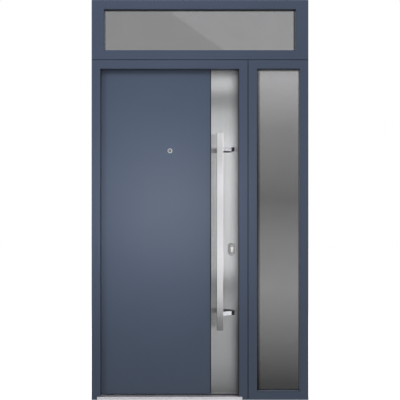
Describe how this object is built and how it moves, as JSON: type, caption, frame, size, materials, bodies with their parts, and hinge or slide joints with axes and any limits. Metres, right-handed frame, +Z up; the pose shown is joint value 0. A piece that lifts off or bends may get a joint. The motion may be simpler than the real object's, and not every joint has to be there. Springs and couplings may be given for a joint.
{
  "type": "prehung steel front door with side light and transom light",
  "caption": "Painted steel entrance unit: inward-opening leaf with stainless insert, long pull bar and key lock, in a frame with a fixed glazed side light and transom light.",
  "frame": {"origin": "on the underside of the sill bar, midway across the whole unit and midway through the frame's depth", "axes": "+Z up, +X to the right seen from the street, +Y from the street towards the house"},
  "size_m": [1.3208, 0.195, 2.4384],
  "materials": {
    "frame_paint": "satin blue-grey powder coat on folded steel",
    "leaf_paint": "satin blue-grey powder coat on sheet steel",
    "brushed_stainless": "brushed along its length",
    "satin_nickel": "satin nickel plate",
    "plated_brass": "nickel plated brass",
    "black_polymer": "black moulded nylon",
    "black_rubber": "black extruded rubber",
    "tinted_glass": "grey tinted float glass",
    "lens_glass": "clear lens",
    "spacer_aluminium": "mill finish"
  },
  "bodies": {
    "frame": {"door_head": "frame_paint", "hinge_frame_halves": "frame_paint", "hinge_jamb": "frame_paint", "lock_jamb": "frame_paint", "sidelight_beads": "frame_paint", "sidelight_bottom_rail": "frame_paint", "sidelight_gasket": "black_rubber", "sidelight_joint_strip": "black_rubber", "sidelight_left_stile": "frame_paint", "sidelight_panes": "tinted_glass", "sidelight_right_stile": "frame_paint", "sidelight_spacer": "spacer_aluminium", "sidelight_top_rail": "frame_paint", "sill_bar": "frame_paint", "strike_plate": "satin_nickel", "threshold_plate": "brushed_stainless", "transom_beads": "frame_paint", "transom_bottom_rail": "frame_paint", "transom_gasket": "black_rubber", "transom_joint_strip": "black_rubber", "transom_left_stile": "frame_paint", "transom_panes": "tinted_glass", "transom_right_stile": "frame_paint", "transom_spacer": "spacer_aluminium", "transom_top_rail": "frame_paint", "weather_seal": "black_rubber"},
    "leaf": {"leaf_box": "leaf_paint", "leaf_outer_skin": "leaf_paint", "stainless_insert": "brushed_stainless", "leaf_inner_skin": "leaf_paint", "bottom_sweep": "black_rubber", "pull_bar": "brushed_stainless", "pull_bar_arms": "brushed_stainless", "pull_bar_feet": "black_polymer", "outer_escutcheon": "satin_nickel", "inner_escutcheon": "satin_nickel", "lock_cylinder": "plated_brass", "thumb_turn": "satin_nickel", "lever_rose": "satin_nickel", "inside_lever": "satin_nickel", "lock_faceplate": "satin_nickel", "lock_bolts": "satin_nickel", "peephole_barrel": "satin_nickel", "peephole_lens": "lens_glass", "peephole_eyepiece": "satin_nickel", "hinge_leaf_halves": "frame_paint"},
    "key_plug": {"key_plug": "plated_brass"}
  },
  "joints": [
    {"name": "door_swing", "type": "hinge", "parent": "frame", "child": "leaf", "pos_m": [-0.6229, 0.06, 1], "axis": [0, 0, 1], "range_deg": [0, 110]},
    {"name": "key_turn", "type": "hinge", "parent": "leaf", "child": "key_plug", "pos_m": [0.1956, -0.023, 0.923], "axis": [0, 1, 0], "continuous": true}
  ]
}
